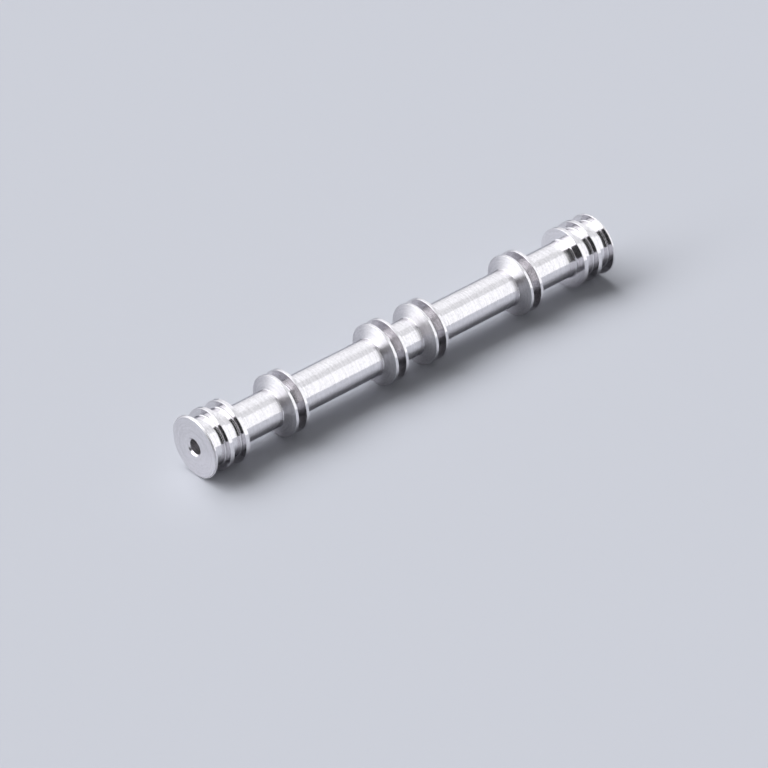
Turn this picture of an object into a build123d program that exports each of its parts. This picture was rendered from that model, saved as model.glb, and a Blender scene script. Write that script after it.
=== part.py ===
from build123d import *
import os
from math import radians, tan

# Spool of a five-port pneumatic valve, turned in one piece from aluminium bar.
# Millimetres. The axis is +Z, the lower end face lies on Z = 0, and the spool is
# symmetric about its middle. Lengths are axial, measured along the spool.

# Bar and necks
overall_length = 80.8
land_diameter = 10.0
neck_diameter = 6.10

# Heads at both ends: three flanges with a square seal groove between each two
end_flange_width = 0.45
middle_flange_width = 0.75
inner_flange_width = 0.75
outer_head_groove_width = 2.40
inner_head_groove_width = 2.20
head_groove_diameter = 7.75
head_groove_corner_chamfer = 0.16
head_root_radius = 0.30

# Sealing lands between the heads, placed by their centres' distance from the middle
land_offsets = (4.05, 23.75)
land_width = 2.50
land_groove_width = 1.50
land_groove_diameter = 5.90
flank_length = 0.80

# Blind centre hole in each end face, with the cone that the drill leaves
centre_hole_diameter = 2.40
centre_hole_depth = 6.00
drill_point_angle = 118
countersink_diameter = 3.00
countersink_angle = 100

# Edge breaks
end_chamfer = 0.20
edge_break = 0.08

# Sizes that follow from these
land_radius = land_diameter / 2
neck_radius = neck_diameter / 2
middle = overall_length / 2
land_centres = sorted(middle + side * offset for offset in land_offsets for side in (-1, 1))
outer_groove_start = end_flange_width
inner_groove_start = outer_groove_start + outer_head_groove_width + middle_flange_width
head_length = inner_groove_start + inner_head_groove_width + inner_flange_width
drill_point_length = centre_hole_diameter / 2 / tan(radians(drill_point_angle / 2))
cutter_overrun = 1.0


def circles_of(part, diameter):
    """Circular edges of one diameter, around the spool's axis."""
    return part.edges().filter_by(GeomType.CIRCLE).filter_by(lambda edge: abs(2 * edge.radius - diameter) < 0.001)


def neck_outline(low, high, low_flank, high_flank):
    """Closed outline in XZ of what is turned away between two shoulders.

    low and high are where the cut meets the land diameter. Each flank is the length of
    the cone there, or 0 for a square shoulder.
    """
    outside = land_radius + cutter_overrun
    return [
        (neck_radius, low + low_flank),
        (neck_radius, high - high_flank),
        (land_radius, high),
        (outside, high),
        (outside, low),
        (land_radius, low),
        (neck_radius, low + low_flank),
    ]


def groove_section(low, width, floor_diameter):
    """Rectangle in XZ that cuts a square groove, open to the outside."""
    depth = land_radius + cutter_overrun - floor_diameter / 2
    with Locations((floor_diameter / 2, low)):
        Rectangle(depth, width, align=(Align.MIN, Align.MIN))


with BuildPart() as valve_spool:
    # Bar faced to length, with both outer edges chamfered
    with BuildSketch(Plane.XZ):
        Rectangle(land_radius, overall_length, align=(Align.MIN, Align.MIN))
    revolve(axis=Axis.Z)
    chamfer(circles_of(valve_spool, land_diameter), end_chamfer)

    # Necks, with a square shoulder at each head and a steep cone at each land
    shoulders = [head_length]
    for centre in land_centres:
        shoulders += [centre - land_width / 2, centre + land_width / 2]
    shoulders.append(overall_length - head_length)
    neck_spans = list(zip(shoulders[0::2], shoulders[1::2]))
    for low, high in neck_spans:
        low_flank = 0 if low == shoulders[0] else flank_length
        high_flank = 0 if high == shoulders[-1] else flank_length
        with BuildSketch(Plane.XZ):
            with BuildLine():
                Polyline(*neck_outline(low, high, low_flank, high_flank))
            make_face()
        revolve(axis=Axis.Z, mode=Mode.SUBTRACT)

    # Root radius at the square shoulder of each head
    neck_ends = circles_of(valve_spool, neck_diameter).sort_by(Axis.Z)
    fillet([neck_ends[0], neck_ends[-1]], head_root_radius)

    # Seal groove in the middle of each land
    with BuildSketch(Plane.XZ):
        for centre in land_centres:
            groove_section(centre - land_groove_width / 2, land_groove_width, land_groove_diameter)
    revolve(axis=Axis.Z, mode=Mode.SUBTRACT)

    # Two seal grooves in each head, laid out from each end face inwards, with broken
    # corners at the floor
    with BuildSketch(Plane.XZ):
        for start, width in (
            (outer_groove_start, outer_head_groove_width),
            (inner_groove_start, inner_head_groove_width),
        ):
            groove_section(start, width, head_groove_diameter)
            groove_section(overall_length - start - width, width, head_groove_diameter)
    revolve(axis=Axis.Z, mode=Mode.SUBTRACT)
    chamfer(circles_of(valve_spool, head_groove_diameter), head_groove_corner_chamfer)

    # Break the sharp edges of the lands and flanges; the end faces have their chamfer
    sharp_edges = circles_of(valve_spool, land_diameter).filter_by_position(
        Axis.Z, end_chamfer, overall_length - end_chamfer, inclusive=(False, False)
    )
    chamfer(sharp_edges, edge_break)

    # Centre hole in each end face, ending in the cone that the drill leaves
    for end_face in (Plane.XY.offset(overall_length), -Plane.XY):
        with Locations(end_face):
            CounterSinkHole(
                radius=centre_hole_diameter / 2,
                counter_sink_radius=countersink_diameter / 2,
                depth=centre_hole_depth,
                counter_sink_angle=countersink_angle,
            )
        with Locations(end_face.offset(-centre_hole_depth)):
            Cone(
                bottom_radius=centre_hole_diameter / 2,
                top_radius=0,
                height=drill_point_length,
                rotation=(180, 0, 0),
                align=(Align.CENTER, Align.CENTER, Align.MIN),
                mode=Mode.SUBTRACT,
            )

valve_spool.part.label = "valve_spool"

os.makedirs("parts", exist_ok=True)
export_step(valve_spool.part, "parts/valve_spool.step")
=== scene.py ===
# A turned aluminium valve spool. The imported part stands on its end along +Z. The photograph
# shows it lying on a table, so here the table is the upright plane behind it, at +Y: "up" from
# the table is -Y, and the spool's near end is its upper one. Sizes are in metres, and the
# spool's own profile is in millimetres.
import math

import bpy
from mathutils import Matrix, Vector


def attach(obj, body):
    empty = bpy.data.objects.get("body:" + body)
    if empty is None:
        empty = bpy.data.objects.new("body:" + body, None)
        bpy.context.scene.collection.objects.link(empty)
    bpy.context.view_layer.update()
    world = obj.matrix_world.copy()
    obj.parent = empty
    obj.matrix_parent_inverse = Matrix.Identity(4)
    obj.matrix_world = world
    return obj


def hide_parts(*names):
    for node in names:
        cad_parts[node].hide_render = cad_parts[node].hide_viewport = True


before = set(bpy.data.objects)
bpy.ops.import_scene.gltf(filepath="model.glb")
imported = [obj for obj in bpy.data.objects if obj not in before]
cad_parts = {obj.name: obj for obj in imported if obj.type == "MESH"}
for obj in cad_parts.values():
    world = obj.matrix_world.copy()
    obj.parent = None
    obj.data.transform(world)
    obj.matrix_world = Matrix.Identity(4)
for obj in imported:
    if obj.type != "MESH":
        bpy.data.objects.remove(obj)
bpy.context.scene.view_settings.view_transform = "Standard"
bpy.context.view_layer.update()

MM = 0.001

# Profile of the spool, in millimetres along its axis and in diameters across it
OVERALL_LENGTH = 80.8
LAND_DIAMETER = 9.99
NECK_DIAMETER = 6.10
END_FLANGE_WIDTH = 0.45
MIDDLE_FLANGE_WIDTH = 0.75
INNER_FLANGE_WIDTH = 0.75
OUTER_HEAD_GROOVE_WIDTH = 2.40
INNER_HEAD_GROOVE_WIDTH = 2.20
HEAD_GROOVE_DIAMETER = 7.75
HEAD_GROOVE_CORNER = 0.25
HEAD_ROOT = 0.30
LAND_OFFSETS = (4.05, 23.75)
LAND_WIDTH = 2.50
LAND_GROOVE_WIDTH = 1.50
LAND_GROOVE_DIAMETER = 5.90
LAND_GROOVE_CORNER = 0.15
FLANK_LENGTH = 0.80
FLANK_ROOT = 0.12
EDGE_ROUND = 0.06
END_CHAMFER = 0.20
CENTRE_HOLE_DIAMETER = 2.40
CENTRE_HOLE_DEPTH = 6.00
COUNTERSINK_DIAMETER = 3.00
COUNTERSINK_DEPTH = 0.25
DRILL_POINT_LENGTH = 0.72

# Roughness that each tool leaves on the metal, and brightness. A brightness below 1 is painted
# shade: it darkens the flanks, the land grooves and the head groove walls for the shade in the
# grooves and the shadowed table that they mirror.
NECK_FINISH = Vector((0.18, 1.0))
FLANK_FINISH_AND_SHADE = Vector((0.30, 0.88))
RIM_FINISH = Vector((0.16, 1.0))
GROOVE_FINISH_AND_SHADE = Vector((0.16, 0.92))
HEAD_FINISH = Vector((0.12, 1.0))
WALL_FINISH_AND_SHADE = Vector((0.12, 0.90))
FACE_FINISH = Vector((0.20, 1.0))
CHAMFER_FINISH = Vector((0.60, 1.0))
HOLE_FINISH = Vector((0.25, 1.0))

# Fineness of the mesh
SEGMENTS_AROUND = 192
ARC_STEPS = 5
ON_AXIS = 1e-6  # a radius below this, in millimetres, is a single point on the axis


def half_profile():
    """Corners (radius, height from the middle, rounding, finish) from the middle up to the axis.

    The last is the roughness that the tool leaves on the metal from this corner to the next, and
    a brightness that is painted shade where it is below 1.
    """
    land = LAND_DIAMETER / 2
    neck = NECK_DIAMETER / 2
    half = OVERALL_LENGTH / 2
    corners = []
    groove = LAND_GROOVE_DIAMETER / 2
    for offset in LAND_OFFSETS:
        corners += [
            (neck, offset - LAND_WIDTH / 2 - FLANK_LENGTH, FLANK_ROOT, FLANK_FINISH_AND_SHADE),
            (land, offset - LAND_WIDTH / 2, EDGE_ROUND, RIM_FINISH),
            (land, offset - LAND_GROOVE_WIDTH / 2, EDGE_ROUND, GROOVE_FINISH_AND_SHADE),
            (groove, offset - LAND_GROOVE_WIDTH / 2, LAND_GROOVE_CORNER, GROOVE_FINISH_AND_SHADE),
            (groove, offset + LAND_GROOVE_WIDTH / 2, LAND_GROOVE_CORNER, GROOVE_FINISH_AND_SHADE),
            (land, offset + LAND_GROOVE_WIDTH / 2, EDGE_ROUND, RIM_FINISH),
            (land, offset + LAND_WIDTH / 2, EDGE_ROUND, FLANK_FINISH_AND_SHADE),
            (neck, offset + LAND_WIDTH / 2 + FLANK_LENGTH, FLANK_ROOT, NECK_FINISH),
        ]
    groove = HEAD_GROOVE_DIAMETER / 2
    outer_high = half - END_FLANGE_WIDTH
    outer_low = outer_high - OUTER_HEAD_GROOVE_WIDTH
    inner_high = outer_low - MIDDLE_FLANGE_WIDTH
    inner_low = inner_high - INNER_HEAD_GROOVE_WIDTH
    shoulder = inner_low - INNER_FLANGE_WIDTH
    corners += [
        (neck, shoulder, HEAD_ROOT, HEAD_FINISH),
        (land, shoulder, EDGE_ROUND, HEAD_FINISH),
    ]
    for low, high in ((inner_low, inner_high), (outer_low, outer_high)):
        corners += [
            (land, low, EDGE_ROUND, WALL_FINISH_AND_SHADE),
            (groove, low, HEAD_GROOVE_CORNER, HEAD_FINISH),
            (groove, high, HEAD_GROOVE_CORNER, WALL_FINISH_AND_SHADE),
            (land, high, EDGE_ROUND, HEAD_FINISH),
        ]
    bore = CENTRE_HOLE_DIAMETER / 2
    sink = COUNTERSINK_DIAMETER / 2
    corners += [
        (land, half - END_CHAMFER, EDGE_ROUND, CHAMFER_FINISH),
        (land - END_CHAMFER, half, EDGE_ROUND, FACE_FINISH),
        (sink, half, EDGE_ROUND / 2, HOLE_FINISH),
        (bore, half - COUNTERSINK_DEPTH, EDGE_ROUND / 2, HOLE_FINISH),
        (bore, half - CENTRE_HOLE_DEPTH, EDGE_ROUND, HOLE_FINISH),
        (0.0, half - CENTRE_HOLE_DEPTH - DRILL_POINT_LENGTH, 0.0, HOLE_FINISH),
    ]
    return corners


def whole_profile():
    """The corners of both halves, from the axis at the lower end to the axis at the upper one."""
    upper = half_profile()
    finishes_and_shades_below = [corner[3] for corner in upper[:-1]][::-1] + [NECK_FINISH]
    lower = [
        (radius, -height, rounding, finish_and_shade)
        for (radius, height, rounding, _), finish_and_shade in zip(reversed(upper), finishes_and_shades_below)
    ]
    return lower + upper


def rounded_outline(corners):
    """Points, outward normals and finish along the corners, with an arc at each rounding.

    The metal lies to the left of the way the corners run. The roughness and the brightness, which
    is painted shade below 1, change over each arc from the previous corner's to this corner's.
    """
    rows = []
    last = len(corners) - 1
    for index, (radius, height, rounding, finish_and_shade) in enumerate(corners):
        here = Vector((radius, height))
        previous = corners[max(index, 1) - 1]
        following = corners[min(index, last - 1) + 1]
        arriving = here - Vector(previous[:2])
        leaving = Vector(following[:2]) - here
        if index == 0:
            arriving = leaving
        if index == last:
            leaving = arriving
        turn = math.atan2(arriving.cross(leaving), arriving.dot(leaving))
        side = math.copysign(1, turn)
        start = here - arriving.normalized() * rounding * math.tan(abs(turn) / 2)
        normal = Vector((arriving.y, -arriving.x)).normalized()
        centre = start - normal * side * rounding
        finish_and_shade_before = previous[3]
        steps = ARC_STEPS if rounding else 0
        for step in range(steps + 1):
            angle = turn * step / max(steps, 1)
            turned = Vector((
                normal.x * math.cos(angle) - normal.y * math.sin(angle),
                normal.x * math.sin(angle) + normal.y * math.cos(angle),
            ))
            blend = step / max(steps, 1)
            blended_finish_and_shade = finish_and_shade_before + (finish_and_shade - finish_and_shade_before) * blend
            rows.append((centre + turned * side * rounding, turned, blended_finish_and_shade))
    return rows


def turned_body(name, rows):
    """Closed mesh of the outline turned about +Z, with exact normals.

    The attribute along_profile holds each point's distance along the outline, in
    millimetres, which is the way that the turning tool travelled. The attribute rough holds the
    roughness that the tool left, and the third attribute holds painted shade: a brightness below
    1 that darkens the flanks, the land grooves and the head groove walls.
    """
    travelled = [0.0]
    for before, here in zip(rows, rows[1:]):
        travelled.append(travelled[-1] + (here[0] - before[0]).length)
    verts, normals, along, finishes_and_shades = [], [], [], []
    for (point, normal, finish_and_shade), distance in zip(rows, travelled):
        on_axis = point.x < ON_AXIS
        for segment in range(1 if on_axis else SEGMENTS_AROUND):
            angle = math.tau * segment / SEGMENTS_AROUND
            cosine, sine = math.cos(angle), math.sin(angle)
            verts.append((point.x * cosine * MM, point.x * sine * MM, point.y * MM))
            outward = 0 if on_axis else normal.x
            facing = Vector((outward * cosine, outward * sine, normal.y))
            normals.append(facing.normalized())
            along.append(distance)
            finishes_and_shades.append(finish_and_shade)
    faces = []
    last = len(verts) - 1
    top = last - SEGMENTS_AROUND
    for segment in range(SEGMENTS_AROUND):
        following = (segment + 1) % SEGMENTS_AROUND
        faces.append((0, 1 + following, 1 + segment))
        faces.append((last, top + segment, top + following))
    for row in range(len(rows) - 3):
        low = 1 + row * SEGMENTS_AROUND
        high = low + SEGMENTS_AROUND
        for segment in range(SEGMENTS_AROUND):
            following = (segment + 1) % SEGMENTS_AROUND
            faces.append((low + segment, low + following, high + following, high + segment))
    mesh = bpy.data.meshes.new(name)
    mesh.from_pydata(verts, [], faces)
    mesh.polygons.foreach_set("use_smooth", [True] * len(mesh.polygons))
    mesh.normals_split_custom_set_from_vertices(normals)
    rough, painted_shade_factor = zip(*finishes_and_shades)
    for label, values in (("along_profile", along), ("rough", rough), ("painted_shade_factor", painted_shade_factor)):
        mesh.attributes.new(label, "FLOAT", "POINT").data.foreach_set("value", values)
    piece = bpy.data.objects.new(name, mesh)
    bpy.context.scene.collection.objects.link(piece)
    return piece


class Nodes:
    """Short way to write a node tree: add() makes any node, the others return an output."""

    def __init__(self, tree):
        self.tree = tree

    def add(self, kind, inputs=None, **settings):
        node = self.tree.nodes.new(kind)
        for key, value in settings.items():
            setattr(node, key, value)
        for key, value in (inputs or {}).items():
            if isinstance(value, bpy.types.NodeSocket):
                self.tree.links.new(value, node.inputs[key])
            else:
                node.inputs[key].default_value = value
        return node

    def math(self, operation, *values):
        node = self.add("ShaderNodeMath", dict(enumerate(values)), operation=operation)
        return node.outputs[0]

    def ramp(self, value, low, high, to_low=0.0, to_high=1.0):
        """Smooth step from to_low, where the value is low, to to_high, where it is high."""
        inputs = {
            "Value": value,
            "From Min": low,
            "From Max": high,
            "To Min": to_low,
            "To Max": to_high,
        }
        node = self.add("ShaderNodeMapRange", inputs, interpolation_type="SMOOTHSTEP")
        return node.outputs["Result"]

    def edge(self, value, middle, blur, below=0.0, above=1.0):
        """Smooth step whose middle and half width are given."""
        return self.ramp(value, middle - blur, middle + blur, below, above)

    def mix(self, factor, first, second):
        first_part = self.math("MULTIPLY", first, self.math("SUBTRACT", 1.0, factor))
        return self.math("ADD", first_part, self.math("MULTIPLY", second, factor))


def new_material(name):
    material = bpy.data.materials.new(name)
    material.use_nodes = True
    material.node_tree.nodes.clear()
    return material, Nodes(material.node_tree)


# Metal: streaks are long marks along the tool's path, and grain is short and only shades
METAL_COLOUR = (0.87, 0.85, 0.865)
METAL_EDGE_TINT = (0.55, 0.55, 0.57, 1)
STREAKS_PER_METRE = 300.0
STREAKS_PER_MM = 3.5
STREAK_DETAIL = 2.0
STREAK_SHADE = 0.35
GRAINS_PER_METRE = 2500.0
GRAINS_PER_MM = 2.5
GRAIN_DETAIL = 1.0
GRAIN_SHADE = 0.25
MARKS_ROUGHNESS = 0.6
MARKS_MIDDLE = 0.5
BUMP_STRENGTH = 1.0
BUMP_DEPTH = 0.00001
ANISOTROPY = 0.8
ANISOTROPY_TURN = 0.25


def turned_aluminium():
    """Bright turned aluminium: fine streaks and grain along the tool's path on a soft mirror."""
    material, nodes = new_material("turned_aluminium")

    def attribute(name):
        return nodes.add("ShaderNodeAttribute", attribute_name=name).outputs["Fac"]

    along = attribute("along_profile")
    position = nodes.add("ShaderNodeNewGeometry").outputs["Position"]
    place = nodes.add("ShaderNodeSeparateXYZ", {0: position}).outputs

    def marks(per_metre_around, per_mm_along, detail):
        where = nodes.add("ShaderNodeCombineXYZ", {
            0: nodes.math("MULTIPLY", place[0], per_metre_around),
            1: nodes.math("MULTIPLY", place[1], per_metre_around),
            2: nodes.math("MULTIPLY", along, per_mm_along),
        }).outputs[0]
        noise = nodes.add("ShaderNodeTexNoise", {
            "Vector": where,
            "Scale": 1.0,
            "Detail": detail,
            "Roughness": MARKS_ROUGHNESS,
        })
        return nodes.math("SUBTRACT", noise.outputs["Fac"], MARKS_MIDDLE)

    streaks = marks(STREAKS_PER_METRE, STREAKS_PER_MM, STREAK_DETAIL)
    grain = marks(GRAINS_PER_METRE, GRAINS_PER_MM, GRAIN_DETAIL)
    bump = nodes.add("ShaderNodeBump", {
        "Height": streaks,
        "Strength": BUMP_STRENGTH,
        "Distance": BUMP_DEPTH,
    })
    streak_shade = nodes.math("MULTIPLY", streaks, STREAK_SHADE)
    grain_shade = nodes.math("MULTIPLY", grain, GRAIN_SHADE)
    marks_shade = nodes.math("ADD", streak_shade, grain_shade)
    # Base colour factor: painted shade from the mesh (darker flanks, land grooves and head groove
    # walls) plus the random tone of the turning marks
    marks_and_painted_shade = nodes.math("ADD", attribute("painted_shade_factor"), marks_shade)
    colour = nodes.add("ShaderNodeVectorMath", {0: METAL_COLOUR, 1: marks_and_painted_shade}, operation="MULTIPLY")
    tangent = nodes.add("ShaderNodeTangent", direction_type="RADIAL", axis="Z")
    shader = nodes.add("ShaderNodeBsdfPrincipled", {
        "Base Color": colour.outputs[0],
        "Metallic": 1.0,
        "Roughness": attribute("rough"),
        "Specular Tint": METAL_EDGE_TINT,
        "Anisotropic": ANISOTROPY,
        "Anisotropic Rotation": ANISOTROPY_TURN,
        "Tangent": tangent.outputs[0],
        "Normal": bump.outputs[0],
    })
    nodes.add("ShaderNodeOutputMaterial", {"Surface": shader.outputs[0]})
    return material


half_length = OVERALL_LENGTH / 2
rows = [
    (point + Vector((0, half_length)), normal, finish_and_shade)
    for point, normal, finish_and_shade in rounded_outline(whole_profile())
]
spool = turned_body("spool_body", rows)
spool.data.materials.append(turned_aluminium())
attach(spool, "root")
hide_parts("valve_spool")


TABLE_Y = 0.005
TABLE_HALF_SIZE = 3.0
TABLE_COLOUR = (0.597, 0.608, 0.649, 1)


def table_material():
    """Pale painted table, seen from its front only, so a view from behind looks through it."""
    material, nodes = new_material("pale_table")
    paint = nodes.add("ShaderNodeBsdfDiffuse", {"Color": TABLE_COLOUR}).outputs[0]
    clear = nodes.add("ShaderNodeBsdfTransparent").outputs[0]
    behind = nodes.add("ShaderNodeNewGeometry").outputs["Backfacing"]
    either = nodes.add("ShaderNodeMixShader", {0: behind, 1: paint, 2: clear}).outputs[0]
    nodes.add("ShaderNodeOutputMaterial", {"Surface": either})
    return material


def table():
    """Upright plane that touches the back of the spool."""
    half = TABLE_HALF_SIZE
    corners = [(-half, 0, -half), (half, 0, -half), (half, 0, half), (-half, 0, half)]
    mesh = bpy.data.meshes.new("table")
    mesh.from_pydata(corners, [], [(0, 1, 2, 3)])
    top = bpy.data.objects.new("table", mesh)
    top.location = (0, TABLE_Y, 0)
    mesh.materials.append(table_material())
    bpy.context.scene.collection.objects.link(top)


table()

# Room. Angles are in degrees around the spool's axis, from the horizon behind it (0) over the
# top of the room (90) to the horizon in front of it (180). Ends are heights along the axis, as
# the Z of a unit direction: above 0 is the side that the spool's near end faces.
ROOM_TINT = (0.98, 0.995, 1.03, 1)
BACKGROUND = (0.61, 0.635, 0.71, 1)
BACKGROUND_STRENGTH = 1.0
KEY_START = 36.0
KEY_END = 74.0
KEY_BLUR = 8.0
EDGE_BLUR = 3.0
END_BLUR = 0.08

# Strengths on the near side, as the metal mirrors them
BACK_WALL = 1.5
KEY_LIGHT = 2.4
CEILING = 1.9
CEILING_END = 97.0
DARK_FRONT = 0.03
NEAR_END = 0.0

# Strengths on the far side, as the metal mirrors them
FAR_BACK = 1.02
FAR_BACK_END = 80.0
FAR_WALL = 0.84
FRONT_START = 115.0
FAR_FRONT = 1.15

# Strengths as they light the table
BEAM = 4.7
BEAM_END = -0.30
FILL = 0.22


def room():
    """World with one look for the metal to mirror, one to light the table, and a plain ground."""
    world = bpy.data.worlds.new("room")
    world.use_nodes = True
    world.node_tree.nodes.clear()
    bpy.context.scene.world = world
    nodes = Nodes(world.node_tree)
    direction = nodes.add("ShaderNodeTexCoord").outputs["Generated"]
    parts = nodes.add("ShaderNodeSeparateXYZ", {0: direction}).outputs
    up = nodes.math("ABSOLUTE", parts[1])
    around = nodes.math("DEGREES", nodes.math("ARCTAN2", up, parts[0]))

    key = nodes.edge(around, KEY_START, KEY_BLUR, BACK_WALL, KEY_LIGHT)
    above = nodes.mix(nodes.edge(around, KEY_END, KEY_BLUR), key, CEILING)
    near_side = nodes.mix(nodes.edge(around, CEILING_END, EDGE_BLUR), above, DARK_FRONT)
    far_back = nodes.edge(around, FAR_BACK_END, KEY_BLUR, FAR_BACK, FAR_WALL)
    far_side = nodes.mix(nodes.edge(around, FRONT_START, EDGE_BLUR), far_back, FAR_FRONT)
    shown = nodes.mix(nodes.edge(parts[2], NEAR_END, END_BLUR), far_side, near_side)

    beam_start = nodes.edge(around, KEY_START, KEY_BLUR, FILL, BEAM)
    beam = nodes.mix(nodes.edge(around, KEY_END, KEY_BLUR), beam_start, FILL)
    lighting = nodes.mix(nodes.edge(parts[2], BEAM_END, END_BLUR), FILL, beam)

    path = nodes.add("ShaderNodeLightPath").outputs
    mirrored = nodes.math("GREATER_THAN", path["Is Glossy Ray"], path["Diffuse Depth"])
    strength = nodes.mix(mirrored, lighting, shown)
    lit = nodes.add("ShaderNodeBackground", {"Color": ROOM_TINT, "Strength": strength})
    plain = nodes.add("ShaderNodeBackground", {
        "Color": BACKGROUND,
        "Strength": BACKGROUND_STRENGTH,
    })
    both = nodes.add("ShaderNodeMixShader", {
        0: path["Is Camera Ray"],
        1: lit.outputs[0],
        2: plain.outputs[0],
    })
    nodes.add("ShaderNodeOutputWorld", {"Surface": both.outputs[0]})


room()


# Camera: level above the table, aimed at a point near the middle of the spool
CAMERA_ELEVATION = math.radians(35.683)
CAMERA_HEADING = math.radians(48.349)
CAMERA_AIM = Vector((-6.518, 0.0, 49.583)) * MM
CAMERA_DISTANCE = 600.0 * MM
SENSOR_WIDTH = 36.0
LENS = 189.052
NEAREST_SEEN = 10.0 * MM


def camera():
    towards_camera = Vector((
        -math.sin(CAMERA_HEADING) * math.cos(CAMERA_ELEVATION),
        -math.sin(CAMERA_ELEVATION),
        math.cos(CAMERA_HEADING) * math.cos(CAMERA_ELEVATION),
    ))
    right = Vector((-math.cos(CAMERA_HEADING), 0.0, -math.sin(CAMERA_HEADING)))
    above = towards_camera.cross(right)
    data = bpy.data.cameras.new("camera")
    data.sensor_width = SENSOR_WIDTH
    data.lens = LENS
    data.clip_start = NEAREST_SEEN
    place = Matrix.Translation(CAMERA_AIM + towards_camera * CAMERA_DISTANCE)
    turned = Matrix((right, above, towards_camera)).transposed()
    eye = bpy.data.objects.new("camera", data)
    eye.matrix_world = place @ turned.to_4x4()
    bpy.context.scene.collection.objects.link(eye)
    bpy.context.scene.camera = eye


camera()
